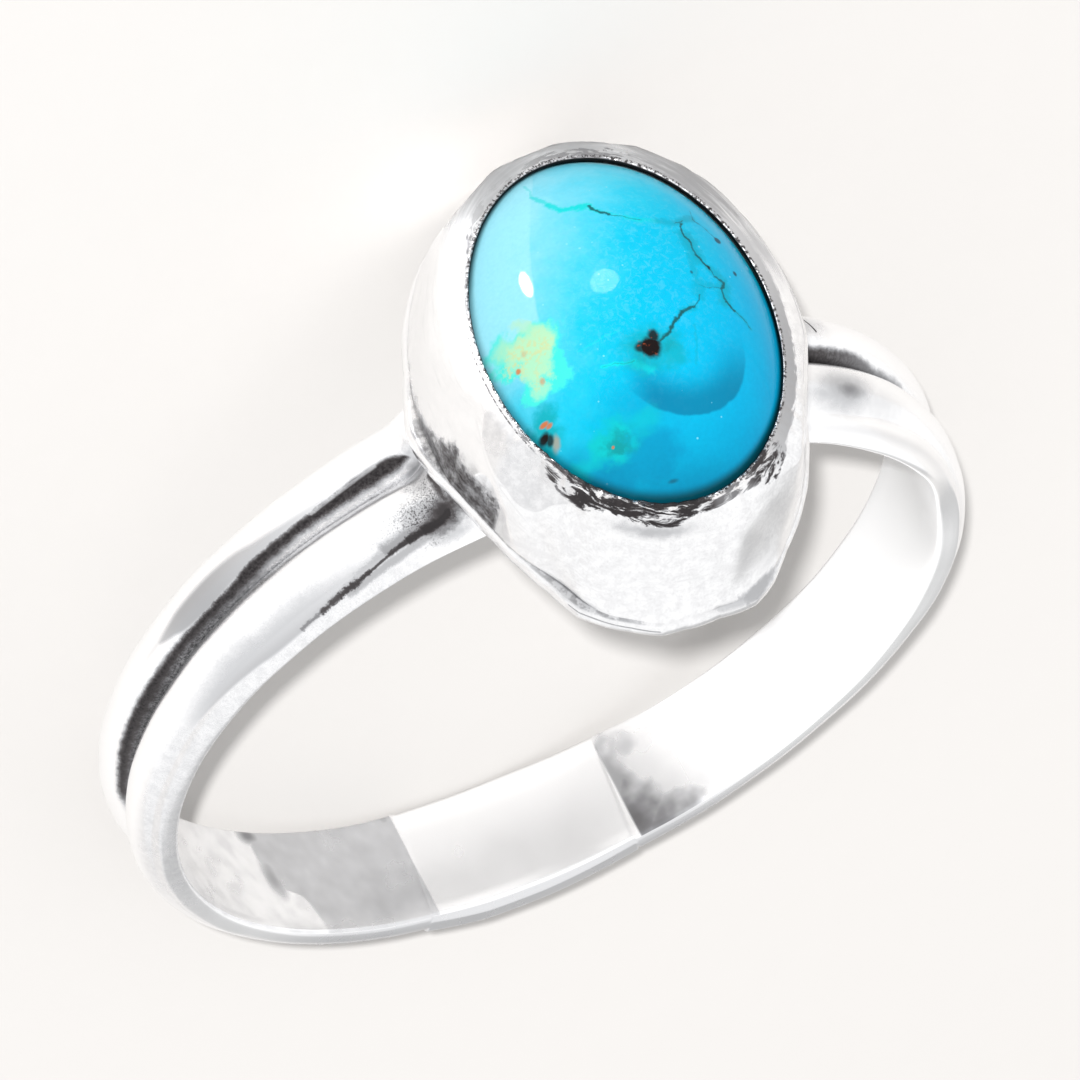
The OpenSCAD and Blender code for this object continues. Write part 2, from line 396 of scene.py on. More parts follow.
# A ragged oval patch, for dirt, oxide, colour and painted shade, placed by two measures over the surface.
patch, takes, out = new_group("ragged patch", {
    "U": 0.0, "V": 0.0, "Middle U": 0.0, "Middle V": 0.0, "Half U": 1.0, "Half V": 1.0, "Softness": 0.3,
    "Ragged": 0.3, "Strength": 1.0, "Grain": 0.5}, {"Mask": "Float"})
across = (takes["U"] - takes["Middle U"]) / takes["Half U"]
up = (takes["V"] - takes["Middle V"]) / takes["Half V"]
far = (takes["Grain"] - 0.5) * takes["Ragged"] * 2.0 + length(across, up)
inside = far.between(1.0 - takes["Softness"], takes["Softness"] + 1.0, 1.0, 0.0)
(inside * takes["Strength"]).into(out["Mask"])

# What hand work leaves on silver: cloudy brightness and fine lines from the polishing stick.
hand_finish, takes, out = new_group(
    "hand finish", {"Place": (0, 0, 0), "Line Direction": (1, 1, 1), "Cloud Size": 1.0},
    {"Cloud": "Float", "Height": "Float"})
cloud = noise(takes["Place"], takes["Cloud Size"], 3.0)
rubbed = noise(takes["Place"].vector("MULTIPLY", takes["Line Direction"]), 1.0, 4.0, 0.6, 0.3)
cloud.into(out["Cloud"])
(rubbed * 0.35 + cloud).into(out["Height"])

# A line in the surface between two places, for thin oxide, creases, veins and painted shade.
thin_line, takes, out = new_group("thin line", {
    "Place": (0, 0, 0), "Start": (0, 0, 0), "End": (0, 0, 0), "Half Width": 0.03, "Ragged": 0.3,
    "Strength": 1.0, "Grain": 0.5}, {"Mask": "Float"})
run = takes["End"].vector("SUBTRACT", takes["Start"])
rel = takes["Place"].vector("SUBTRACT", takes["Start"])
share = rel.vector("DOT_PRODUCT", run).maths("DIVIDE", run.vector("DOT_PRODUCT", run), clamp=True)
apart = rel.vector("DISTANCE", run.vector("SCALE", share)) / takes["Half Width"]
apart = (takes["Grain"] - 0.5) * takes["Ragged"] * 4.0 + apart
(apart.between(0.3, 1.4, 1.0, 0.0) * takes["Strength"]).into(out["Mask"])


def patches(u, v, grain, rows):
    """Ragged patches. Columns: middle in u and v, half size in u and v, softness, raggedness, strength."""
    names = ("Middle U", "Middle V", "Half U", "Half V", "Softness", "Ragged", "Strength")
    masks = []
    for row in rows:
        fill = {"U": u, "V": v, "Grain": grain} | dict(zip(names, row))
        masks.append(use(u.tree, patch, fill)["Mask"])
    return masks


def lines(place, grain, chains, mm_per_u=1, ragged=0.4):
    """Thin lines from point to point. Columns: u, v and, of the stretch that ends there, half width,
    raggedness where it isn't the common one, and strength."""
    masks = []
    for chain in chains:
        for (u0, v0, *_), (u1, v1, half, *own, much) in zip(chain, chain[1:]):
            fill = {
                "Place": place, "Start": (u0 * mm_per_u, v0, 0), "End": (u1 * mm_per_u, v1, 0),
                "Grain": grain, "Half Width": half, "Ragged": own[0] if own else ragged, "Strength": much}
            masks.append(use(place.tree, thin_line, fill)["Mask"])
    return masks


def darkest(masks):
    """The strongest of several masks."""
    total = masks[0]
    for mask in masks[1:]:
        total = total.maths("MAXIMUM", mask)
    return total


def ramp(value, stops):
    """The colour that a ramp gives for value. Columns: place from 0 to 1, red, green, blue."""
    made = put(value.tree, "ValToRGB", {0: value})[0]
    elements = made.socket.node.color_ramp.elements
    elements[0].color, elements[1].color = (*stops[0][1:], 1), (*stops[-1][1:], 1)
    for place, *colour in stops[1:-1]:
        elements.new(place).color = (*colour, 1)
    return made


def bump(height, strength, depth):
    """A normal from a height; depth in mm."""
    return put(height.tree, "Bump", {"Height": height, "Strength": strength, "Distance": depth / 1000})[0]


def new_material(name):
    """A material, its nodes and the inputs of its Principled shader."""
    made = bpy.data.materials.new(name)
    made.use_nodes = True
    return made, made.node_tree, made.node_tree.nodes["Principled BSDF"].inputs


def finish_silver(shader, dark, hand):
    """Joins darkness, cloudiness and fine lines to the shader: the darkness is oxide, dirt, painted shade and
    painted reflection, and dark places turn rough and lose their polish.
    """
    polished, clouded, oxidised = 0.14, 0.16, 0.30
    ramp(dark, [
        (0, 0.97, 0.972, 0.978), (0.1, 0.84, 0.84, 0.85), (0.25, 0.58, 0.585, 0.6), (0.5, 0.26, 0.26, 0.27),
        (0.75, 0.085, 0.078, 0.08), (1, 0.02, 0.018, 0.019)]).into(shader["Base Color"])
    rough = dark.maths("MULTIPLY_ADD", oxidised, hand["Cloud"] * clouded + polished, clamp=True)
    rough.into(shader["Roughness"])
    bump(hand["Height"], 0.3, 0.005).into(shader["Normal"])


def within(side, masks):
    return [mask * side for mask in masks]


shank_silver, tree, shader = new_material("shank silver")
here = use(tree, on_shank)
turned, along, radius, place = (here[name] for name in ("Turn", "Along", "Radius", "Place"))
grain = noise(place, 4.5, 6, 0.68)
fine = noise(place, 15, 3, 0.6)
smoke = noise(place, 2.2, 1.5, 0.5)
hand = use(tree, hand_finish, {"Place": place, "Line Direction": (3, 3, 1), "Cloud Size": 0.9})
inner = radius.between(bore_r + 0.03, bore_r + 0.05, 1, 0)
outer = 1 - inner
# the inside's turn runs on past the back of the finger
round_turn = turned.maths("WRAP", 360, 0)
mm_per_degree = 0.157
unrolled = put(tree, "CombineXYZ", {0: turned * mm_per_degree, 1: along})[0]

# oxide in the groove: near black on the far wire's flank, mottled grey down to the near wire
oxide_top = turned.follow([
    (-66, -0.2), (-60, -0.26), (-54, -0.34), (-50, -0.34), (-46, -0.4), (-42, -0.46), (-34, -0.46),
    (0, -0.6), (24, -0.6), (28, -0.74), (31, -0.77), (36, -0.68), (44, -0.64), (50, -0.63), (55, -0.53),
    (68, -0.51), (84, -0.48), (96, -0.4), (104, -0.3)])
oxide_low = turned.follow([
    (-66, 0.2), (-30, 0.2), (0, -0.4), (24, -0.48), (32, -0.42), (42, -0.43), (48, -0.4), (54, -0.35),
    (66, -0.35), (74, -0.31), (96, -0.25), (104, -0.2)])
speck = noise(place, 30, 3, 0.7)
torn = grain * 0.12 + (speck * 0.1 + -0.11)
pitted = speck * 0.5 + grain * 0.5
past_top = along - oxide_top + torn
past_low = along - oxide_low + torn
mottled = (speck * 0.5 + fine * 0.5).between(0.36, 0.62, 0.1, 0.44)
mottled *= turned.between(40, 68, 0.42, 1.5)
black = fine.between(0.3, 0.7, 0.98, 0.84)
tone = put(tree, "Mix", {0: past_low.between(-0.1, 0.08), 2: black, 3: mottled})[0]
groove = past_top.between(-0.06, 0.09) * along.between(0.16, -0.1)
groove *= radius.between(crown_r - 0.01, crown_r - 0.07)
groove *= turned.between(107, 99) * turned.between(-66, -56)
groove *= turned.between(-60, -20, 0.5, 1)
rubbed = lines(unrolled, fine, [[(30, -0.69), (40, -0.6, 0.035, 0.3, 0.45)]], mm_per_degree)[0]
groove *= 1 - rubbed
marks = [groove * tone * outer]
# painted shade: the near wire's lower half is a finely pitted grey down the picture's left
flank_shade_from = turned.follow([(30, 0.75), (50, 0.72), (75, 0.72), (100, 0.8), (130, 0.9), (150, 0.98)])
flank_shade = (along - flank_shade_from).between(-0.14, 0.2)
flank_shade *= turned.between(24, 34) * turned.between(140, 104)
flank_shade *= pitted.between(0.36, 0.64, 0.1, 0.19)
marks.append(flank_shade * outer)

# painted shade: a soft grey stretch low on the near wire, darkest at its foot
band_top = turned.follow([
    (28, 0.84), (36, 0.7), (42, 0.62), (48, 0.55), (53, 0.57), (59, 0.5), (66, 0.57), (72, 0.62)])
band_low = turned.follow([
    (28, 0.95), (36, 1), (40, 1.06), (45, 1.14), (52, 1.18), (58, 1.12), (64, 1.06), (72, 1)])
above_foot = band_low - along
softly = (pitted - 0.5) * 0.45 + (along - band_top)
band = softly.between(-0.18, 0.32) * above_foot.between(-0.06, 0.06)
band *= above_foot.between(0.3, 0, 0.75, 1)
band_much = turned.follow([(27, 0), (32, 0.16), (40, 0.25), (50, 0.33), (60, 0.33), (68, 0.27), (74, 0)])
marks.append(band * band_much * outer)
# painted reflection: a grey band beside the groove on the far wire
far_top = turned.follow([
    (33, -0.76), (41, -0.8), (48, -0.9), (55, -1.02), (61, -1), (66, -0.9), (69, -0.82)])
far_low = turned.follow([(33, -0.6), (49, -0.56), (54, -0.5), (60, -0.46), (66, -0.6), (69, -0.74)])
far_reflection_band = (along - far_top).between(-0.06, 0.13) * (far_low - along).between(-0.05, 0.08)
far_much = turned.follow([(33, 0), (40, 0.2), (50, 0.31), (62, 0.38), (68, 0.3), (73, 0)])
marks.append(far_reflection_band * far_much * outer)

# thin oxide along the foot of the near wire, and beside the setting
marks += within(outer, lines(unrolled, pitted, [
    [
        (24.6, 0.99), (28.5, 0.94, 0.1, 0.5, 0.92), (31, 0.93, 0.068, 0.6, 0.9),
        (34.1, 0.95, 0.046, 0.6, 0.84), (37.4, 1.01, 0.034, 0.6, 0.74), (39.6, 1.04, 0.05, 0.9, 0.84),
        (42.5, 1.06, 0.085, 1.2, 0.84), (45.9, 1.09, 0.075, 1.2, 0.76), (49.6, 1.12, 0.05, 1.2, 0.52)],
    [(26, 0.92), (34, 0.89, 0.15, 0.5, 0.42)], [(34, 0.92), (47, 1.06, 0.11, 0.5, 0.3)],
    [(28, 1.04), (41.5, 1.13, 0.11, 0.5, 0.36)], [(24.4, 0.2), (24.2, 1.05, 0.1, 0.8, 0.74)],
    [(24.6, -0.6), (24.6, -0.05, 0.07, 0.6, 0.4)],
    [(325.6 - 360, -1.02), (324.6 - 360, -0.75, 0.03, 0.2, 0.85)]], mm_per_degree))
# the grey stretch left of the plain piece starts at a slanting edge and stops sharply at the seam
slanting = along.follow([
    (-1.4, 145.2), (-0.3, 144.8), (0.15, 146.4), (0.45, 150.2), (0.9, 151.2), (1.4, 151.6)])
past_slant = round_turn - slanting
stretch = past_slant.between(-0.5, 0.9) * round_turn.between(171.6, 171.1)
pale = smoke * 0.14 + 0.2
pale *= along.between(1.3, 0.7, 0.7, 1)
marks.append(stretch * pale * inner)
# the ring's near face is grey beside the plain piece, pale grey on to the right
beside = along.between(0.9, 1.2) * outer
beside *= round_turn.between(134, 156) * round_turn.between(232, 204)
marks.append(beside * 0.2)
# painted shade: the plain piece is white near its far edge and palest grey below
let_in = round_turn.between(171.2, 171.6) * round_turn.between(202.6, 202.2)
shade = along.between(-1.15, -0.6, 0, 0.085) * along.between(1.3, 0.3, 0.5, 1)
marks.append(let_in * shade * inner)
past_seam = round_turn.between(202.2, 202.7)
# soft clouding between the groove's end and the grey stretch
clouded = round_turn.between(92, 108) * round_turn.between(172, 171)
clouded *= smoke.between(0.3, 0.72, 0.04, 0.14)
marks.append(clouded * inner)

# columns: turn, along, half turn, half along, softness, raggedness, strength
speckled = outer * speck.between(0.4, 0.64)
marks += within(speckled, patches(round_turn, along, grain, [
    (26.8, 0.8, 4.2, 0.38, 1, 0.6, 0.92), (25.6, 0.35, 2.4, 0.55, 1, 0.8, 0.6),
    (30.5, 0.8, 5, 0.22, 1, 0.8, 0.36)]))
marks += within(outer, patches(turned, along, grain, [
    (25.4, 0.92, 3, 0.24, 0.9, 0.7, 0.86), (26.6, 0.82, 3.4, 0.32, 0.9, 0.8, 0.42),
    (25.4, -0.1, 2.3, 0.62, 0.8, 1, 0.32), (25.4, 1.22, 3, 0.16, 0.8, 0.7, 0.26),
    (38, 1.26, 14, 0.14, 0.9, 0.6, 0.1), (58, 1.22, 12, 0.12, 0.9, 0.6, 0.1),
    (-35.6, 0.66, 5, 0.34, 1, 0.25, 0.36), (-36.4, 0.68, 3.2, 0.19, 1, 0.3, 0.5),
    (-31.6, 0.78, 3, 0.16, 1, 0.4, 0.26), (-42, 0.8, 6, 0.24, 1, 0.5, 0.14),
    (-34, -0.9, 3.4, 0.26, 0.9, 0.9, 0.22), (-30, -0.58, 3, 0.1, 0.9, 0.9, 0.3),
    (-48, 1.36, 22, 0.1, 0.9, 0.2, 0.12), (-78, 1.25, 16, 0.12, 0.9, 0.2, 0.06)]))
marks += within(inner, patches(round_turn, along, smoke, [
    (145.4, -1.15, 1.9, 0.22, 0.9, 0.4, 0.5), (146.2, -0.05, 1.7, 0.45, 0.9, 0.5, 0.4),
    (170.2, -1.2, 1, 0.15, 0.8, 0.4, 0.36), (133, 1.12, 7, 0.1, 0.9, 0.4, 0.16)]))
marks += within(inner * past_seam, patches(round_turn, along, smoke, [
    (203.2, 1, 3.6, 0.9, 1, 0.7, 0.62), (205.6, 1.28, 6, 0.44, 1, 0.8, 0.56),
    (202.8, 0.1, 3, 1.2, 1, 0.9, 0.4), (206, -0.66, 2, 0.3, 1, 0.9, 0.26),
    (204.5, -0.1, 7, 1.1, 1, 0.3, 0.16), (207, 0.95, 10, 0.9, 1, 0.3, 0.16)]))
finish_silver(shader, darkest(marks), hand)
# inside on the picture's right the polish is satin and scatters more
satin = inner * round_turn.between(204, 226)
satin *= round_turn.between(360, 290)
mirrored, mirrored_satin = 0.84, 0.50
(satin * (mirrored_satin - mirrored) + mirrored).into(shader["Metallic"])
shank.data.materials.append(shank_silver)
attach(shank, "root")
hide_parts("silver_ring")

# Bezel
# The oval base plate and the heavy wall round the stone, cut and filed by hand from thick silver sheet
# and soldered on the shank. The lip was hammered and burnished over the stone, which left it ragged.
plate_t = plate_top - plate_under
wall_b = plate_b - 0.07

# columns: facing about the stone's axis in degrees, tilt in degrees, depth in mm
filed_flats = [
    (10, 8, 0.03), (38, 9, 0.21), (66, 13, 0.04), (92, 15, 0.05), (126, 12, 0.03), (160, 9, 0.03),
    (204, 7, 0.03), (230, 11, 0.06), (254, 14, 0.12), (282, 15, 0.13), (308, 12, 0.08), (336, 7, 0.03)]
# columns: facing, height where the cut begins, slope of the cut, width of it in degrees
upper_cuts = [(38, 1.55, 0.42, 24), (100, 1.95, 0.30, 20), (160, 1.9, 0.35, 26)]
# the plate's rim, with its corners left by the saw. Columns: facing, how far it stands outside the oval
rim_corners = [
    (0, 0.17), (7, 0.12), (12, 0.05), (18, -0.07), (25, -0.16), (32, -0.23), (41, -0.24), (50, -0.2),
    (58, -0.12), (62, -0.04), (66.5, 0.07), (78, 0.08), (85, 0.13), (90, 0.07), (98, 0.06), (107, 0.19),
    (114, 0.13), (122, 0), (153, 0), (175, -0.03), (200, -0.01), (225, -0.06), (250, -0.01), (262, -0.08),
    (285, -0.02), (300, -0.07), (325, -0.04), (339, -0.06), (348, 0.04), (354, 0.12)]
lip_profile = [
    (2, 0.18), (2.1, 0.215), (2.2, 0.26), (2.29, 0.345), (2.36, 0.44), (2.42, 0.55), (2.46, 0.66),
    (2.49, 0.74), (2.5, 0.79)]
# how far the hammered part of the lip reaches outwards. Columns: facing, its limit on the short axis
lip_limit = [
    (0, 3.19), (20, 3.18), (38, 3.2), (48, 3.3), (54, 3.42), (60, 3.46), (70, 3.44), (77, 3.47), (82, 3.47),
    (87, 3.4), (94, 3.31), (103, 3.3), (108, 3.36), (113, 3.45), (120, 3.53), (125, 3.47), (131, 3.38),
    (150, 3.37), (180, 3.36), (200, 3.34), (240, 3.33), (270, 3.31), (300, 3.31), (312, 3.28), (320, 3.19),
    (340, 3.18), (360, 3.19)]


def oval_radius(b, facing):
    """Distance from the stone's axis to an oval of half width b."""
    return b / np.sqrt(np.cos(facing) ** 2 + (np.sin(facing) / oval) ** 2)


def oval_reach(b, facing):
    return b * np.sqrt(np.cos(facing) ** 2 + (oval * np.sin(facing)) ** 2)


def least(values, sharp):
    """The lowest of several radii, with the edges between them slightly rounded."""
    values = np.array(values)
    low = values.min(0)
    return low - np.log(np.exp(-sharp * (values - low)).sum(0)) / sharp


def flats_radius(facing, height, rows, b, sharp=16):
    radii = [oval_radius(b, facing) + 0 * height]
    for turned_to, tilt, depth in rows:
        off = np.angle(np.exp(1j * (facing - math.radians(turned_to))))
        flat = oval_reach(b, math.radians(turned_to)) - depth - height * math.tan(math.radians(tilt))
        radii.append(np.where(np.abs(off) < 1.2, flat / np.cos(np.clip(off, -1.25, 1.25)), 99))
    return least(radii, sharp)


set_cos, set_sin = math.cos(setting_turn), math.sin(setting_turn)


def on_setting(points):
    """Points upright on the plate, in mm from the finger's axis, put where the setting is."""
    x, y, z = points[..., 0], points[..., 1], points[..., 2]
    return np.stack([x * set_cos - y * set_sin, -z, x * set_sin + y * set_cos], -1)


columns = 900
facing = np.radians(np.arange(columns) * 360 / columns)
degrees = np.degrees(facing)
rim = oval_radius(plate_b + np.interp(degrees, *np.array(rim_corners).T, period=360), facing)
rim = rim + hand_wave(degrees, 0, 0.010, [(11, 0, 0.4), (23, 0, 2.0), (37, 0, 4.4)])


def wall_radius(height):
    """The filed outside of the wall at a height above the plate."""
    body = oval_radius(1.0, facing) * (wall_b - 0.06 * height)
    flats = flats_radius(facing, height + 0 * facing, filed_flats, wall_b)
    radius = least([body, flats], 16) + 0.02
    for turned_to, begins, slope, width in upper_cuts:
        off = np.angle(np.exp(1j * (facing - math.radians(turned_to))))
        share = np.exp(-(np.degrees(off) / width) ** 2)
        cut = share * slope * np.log1p(np.exp(8 * (height - begins))) / 8
        radius = radius - cut * (1 if height < 2.2 else 0.9)
    waves = [(5, 1.2, 0.5), (9, -1.5, 2.4), (15, 0.8, 3.9), (27, 2, 1.2)]
    radius = radius + hand_wave(degrees, height * 2, 0.014, waves)
    # the foot of the wall runs out to the corners of the plate on the near side
    flare = 0.85 * np.exp(-height / 0.32) * eased_step(60, 74, degrees) * eased_step(140, 122, degrees)
    radius = radius + flare * np.maximum(rim - 0.05 - radius, 0)
    return np.minimum(radius, rim - 0.03)


rows, heights = [], []


def row(radius, height):
    rows.append(radius + 0 * facing)
    heights.append(height + 0 * facing)


for share in (0.25, 0.55, 0.8):
    row(rim * share, -plate_t)
for inset, height in ((0.06, -0.35), (0.02, -0.335), (0, -0.30), (-0.005, -0.22), (0, -0.14), (0.012, -0.09)):
    row(rim - inset, height)
# the crease between rim and wall is open in some places and burnished shut in others
crease = np.interp(degrees, [0, 20, 38, 50, 62, 76, 90, 100, 113, 125, 200, 300, 345, 360],
                   [0.6, 0.9, 1.0, 0.5, 0.8, 0.6, 0.2, 0.4, 0.4, 0.15, 0.15, 0.2, 0.45, 0.6])
crease = np.clip(crease + hand_wave(degrees, 0, 0.25, [(7, 0, 2.9), (12, 0, 1.1), (29, 0, 0.3)]), 0.05, 1.0)
row(rim - 0.03 - 0.02 * crease, -0.055)
row(rim - 0.05 - 0.055 * crease, -0.03)
row(np.minimum(wall_radius(0.0), rim - 0.05) - 0.045 * crease, 0.0)
for height in np.concatenate([[0.03, 0.08], np.linspace(0.15, 1.93, 25)]):
    row(wall_radius(height), height)

rough = np.interp(degrees, [0, 20, 40, 60, 90, 115, 140, 175, 200, 260, 300, 330, 360],
                  [0.4, 0.4, 0.8, 1.5, 1.5, 1.2, 0.5, 0.3, 0.4, 0.5, 0.5, 0.5, 0.4])
chatter = hand_wave(degrees, 0, 1.0, [(31, 0, 0.3), (53, 0, 1.7), (89, 0, 4.1), (131, 0, 2.5), (23, 0, 5.0)])
chatter2 = hand_wave(degrees, 0, 1.0, [(37, 0, 2.3), (61, 0, 0.7), (79, 0, 3.1), (127, 0, 1.5), (19, 0, 4.6)])
nicks = hand_wave(degrees, 0, 1.0, [(19, 0, 1.3), (31, 0, 3.7), (43, 0, 0.2)]) * np.maximum(rough - 0.5, 0)
for k, (height, step_in) in enumerate(lip_profile):
    share = eased_step(2.25, 2.5, height)
    radius = np.minimum(wall_radius(height), oval_radius(wall_b - step_in, facing))
    wear = rough * share * (chatter if k % 2 else chatter2)
    lifted = 0.018 * rough * share * (chatter2 if k % 2 else chatter) + 0.02 * nicks * share
    row(radius + 0.022 * wear, height + lifted)
inner_edge = 3.125
for inset, height in ((0.0, 2.505), (0.03, 2.49), (0.045, 2.45), (0.03, 2.38), (-0.03, 2.28), (-0.10, 2.18),
                      (-0.16, 2.0), (-0.17, 1.2), (-0.17, 0.1)):
    share = 1.0 if height > 2.3 else 0.0
    bent_in = 0.016 * rough * chatter * share * (1 if inset < 0.04 else 0.6)
    row(oval_radius(inner_edge - inset, facing) + bent_in, height + 0.016 * rough * chatter2 * share)
row(oval_radius(1.6, facing), 0.1)
r, h = np.array(rows), np.array(heights)
points = np.stack([r * np.cos(facing), r * np.sin(facing), plate_top + h], -1)
centres = on_setting(np.array([[0, 0, plate_top - plate_t], [0, 0, plate_top + 0.1]]))
bezel = skin("bezel", lying(on_setting(points)), close_rows=False,
             fans=[(0, lying(centres)[0]), (len(rows) - 1, lying(centres)[1])])

finger_axes, finger_offsets = np.array(finger_axes), np.array(finger_offsets)
to_setting = np.array([(set_cos, 0, set_sin), (-set_sin, 0, set_cos), (0, -1, 0)])
on_plate, (x, y, z), out = place_group(
    "place on the setting", ["Facing", "Height", "Reach"], to_setting @ finger_axes,
    to_setting @ finger_offsets)
(z - plate_top).into(out["Height"])
y.maths("ARCTAN2", x).maths("DEGREES").maths("WRAP", 360.0, 0.0).into(out["Facing"])
length(x, y / oval).into(out["Reach"])

bezel_silver, tree, shader = new_material("bezel silver")
shader["Metallic"].default_value = 0.93
here = use(tree, on_plate)
facing, height, reach, place = (here[name] for name in ("Facing", "Height", "Reach", "Place"))
grain = noise(place, 4, 6, 0.7)
fine = noise(place, 14, 4, 0.7)
hand = use(tree, hand_finish, {"Place": place, "Line Direction": (2.5, 2.5, 1.2), "Cloud Size": 0.7})
signed = facing.maths("WRAP", 180, -180)
wall_mm_per_degree = 0.075


def streaks(along_wall, up, outwards, detail, rough, bent):
    """Noise drawn out round the wall, with its own closeness along it, up it and outwards over the lip."""
    drawn_out = {0: signed * (wall_mm_per_degree * along_wall), 1: height * up, 2: reach * outwards}
    return noise(put(signed.tree, "CombineXYZ", drawn_out)[0], 1.0, detail, rough, bent)


brushed = streaks(4.0, 12.0, 0.0, 5.0, 0.75, 0.6)
nicked = streaks(1.6, 3.0, 9.0, 6.0, 0.72, 0.7)
drawn = streaks(0.7, 6.0, 9.0, 4.0, 0.65, 0.8)

# oxide low on the left of the wall, brushed thin by the polishing
oxide_top = signed.follow([
    (-34, 0.05), (-24, 0.22), (-10, 0.26), (0, 0.3), (7, 0.48), (12, 0.85), (18, 1.08), (24, 0.95),
    (31, 1.02), (38, 0.95), (42, 0.7)])
oxide_much = signed.follow([
    (-34, 0), (-20, 0.28), (-4, 0.42), (5, 0.66), (14, 0.8), (22, 0.9), (30, 0.86), (40, 1)])
under_top = (grain - 0.5) * 0.9 + (oxide_top - height)
oxide = under_top.between(-0.16, 0.3) * brushed.between(0.32, 0.66, 0.66, 0.96)
oxide *= grain.between(0.32, 0.62, 0.55, 1)
oxide *= oxide_much * signed.between(40, 37.6)
marks = [oxide * height.between(-0.04, 0.03)]
# the flat filed on the near left of the lip is painted a grainy grey: partly a duller finish, partly painted
# reflection
flat_foot = signed.follow([
    (18, 2.4), (20, 2.25), (24, 1.86), (31, 1.65), (38, 1.46), (45, 1.29), (53, 1.78), (60, 2.2)])
on_flat = (height - flat_foot).between(-0.03, 0.06)
on_flat *= signed.between(17, 21) * signed.between(61, 57)
marks.append(on_flat * grain.between(0.3, 0.7, 0.09, 0.18))

# most of these grey patches on the wall are painted shade and reflection: on a small facet, low on the right
# and along the foot
# columns: facing, height, half facing, half height, softness, raggedness, strength
marks += patches(facing, height, grain, [
    (39.6, 0.72, 2.3, 0.28, 0.2, 0.2, 0.11), (108, 0.02, 6, 0.14, 0.5, 0.9, 0.34),
    (101, -0.02, 5, 0.1, 0.6, 0.9, 0.24), (114, 0.3, 5, 0.12, 0.8, 0.8, 0.12),
    (80, 2.26, 10, 0.16, 1, 0.9, 0.3), (63, 0.02, 8, 0.1, 0.7, 0.6, 0.26),
    (352, 0.6, 14, 0.55, 0.9, 0.3, 0.04)])
marks += patches(facing, height, drawn, [
    (290, 2.42, 18, 0.34, 1, 1, 0.36), (266, 2.4, 18, 0.3, 1, 1.3, 0.34),
    (235, 2.36, 26, 0.34, 1, 1.5, 0.4), (204, 2.4, 14, 0.2, 1, 1.2, 0.26)])
# thin grey lines on the wall; those on the lower wall and in the crease by the rim are painted shade.
# Columns: facing, height, half width, strength
unrolled = put(tree, "CombineXYZ", {0: facing * wall_mm_per_degree, 1: height})[0]
marks += lines(unrolled, grain, [
    [(43.7, 0.22), (56.9, 0.55, 0.1, 0.08), (60, 0.02, 0.08, 0.07)], [(97, 1.1), (118, 0.18, 0.12, 0.08)],
    [(150, 2.3), (186, 2.22, 0.022, 0.22)], [(64, -0.12), (84, -0.16, 0.022, 0.4)],
    [(18, 2.02), (47, 1.05, 0.03, 0.07)]], wall_mm_per_degree)
# oxide in the open parts of the crease round the foot of the wall
low_line = height.between(-0.07, -0.03) * height.between(0.05, 0)
open_crease = facing.follow([
    (0, 0.5), (20, 0.6), (38, 0.72), (50, 0.3), (62, 0.45), (78, 0.35), (90, 0.1), (102, 0.22), (113, 0.28),
    (125, 0.05), (200, 0.04), (330, 0.1), (360, 0.5)])
marks.append(low_line * open_crease * grain.between(0.38, 0.6, 0.35, 1))
# oxide rubbed into the hammered lip, smooth and grey on the right; the black down beside the stone is painted
# shadow of the gap
limit = facing.follow(lip_limit)
limit += (nicked - 0.5) * 0.3
on_lip = (limit - reach).between(-0.02, 0.03)
on_lip *= height.between(2.05, 2.2)
darkness = facing.follow([
    (0, 0.45), (30, 0.5), (45, 0.75), (55, 0.85), (62, 0.93), (92, 0.93), (97, 0.7), (106, 0.55),
    (114, 0.85), (123, 0.8), (128, 0.2), (150, 0.15), (200, 0.2), (240, 0.35), (262, 0.5), (285, 0.4),
    (300, 0.4), (308, 0.45), (318, 0.6), (325, 0.5), (360, 0.45)])
smooth_grey = facing.follow([
    (0, 0), (108, 0), (124, 0.3), (150, 0.38), (190, 0.3), (250, 0.18), (300, 0.12), (320, 0), (360, 0)])
less_torn = facing.follow([(0, 0), (50, 0), (62, 0.035), (80, 0.045), (92, 0.02), (104, -0.01), (360, 0)])
patchy = (nicked + less_torn).between(0.44, 0.54, 0.1, 0.97)
marks.append(on_lip * (patchy * darkness))
marks.append(on_lip * smooth_grey)
# painted shadow: black flecks on the lip where it meets the stone
beside = reach.between(3.2, 3.14) * height.between(2.05, 2.2)
marks.append(beside * fine.between(0.42, 0.58, 0, 0.85))
# painted shadow: black on the lip's inner edge against the stone and on the floor of the cup
marks.append(reach.between(3.115, 3.09) * height.between(-0.2, -0.1))
# a second thin line where the lip was rolled over on the left
rolled = reach.between(3.21, 3.235) * reach.between(3.265, 3.24)
rolled *= signed.between(-44, -34) * signed.between(46, 36)
marks.append(rolled * fine.between(0.38, 0.55, 0.2, 0.75))
# the faint mottle of a hand-rubbed wall
mottle = fine.between(0.35, 0.75) * 0.05 + grain.between(0.36, 0.62, 0, 0.08)
marks.append(mottle * signed.between(34, 60, 0.35, 1))
marks.append(drawn.between(0.5, 0.72, 0, 0.1))
finish_silver(shader, darkest(marks), hand)
bezel.data.materials.append(bezel_silver)
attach(bezel, "root")
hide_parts("silver_ring")

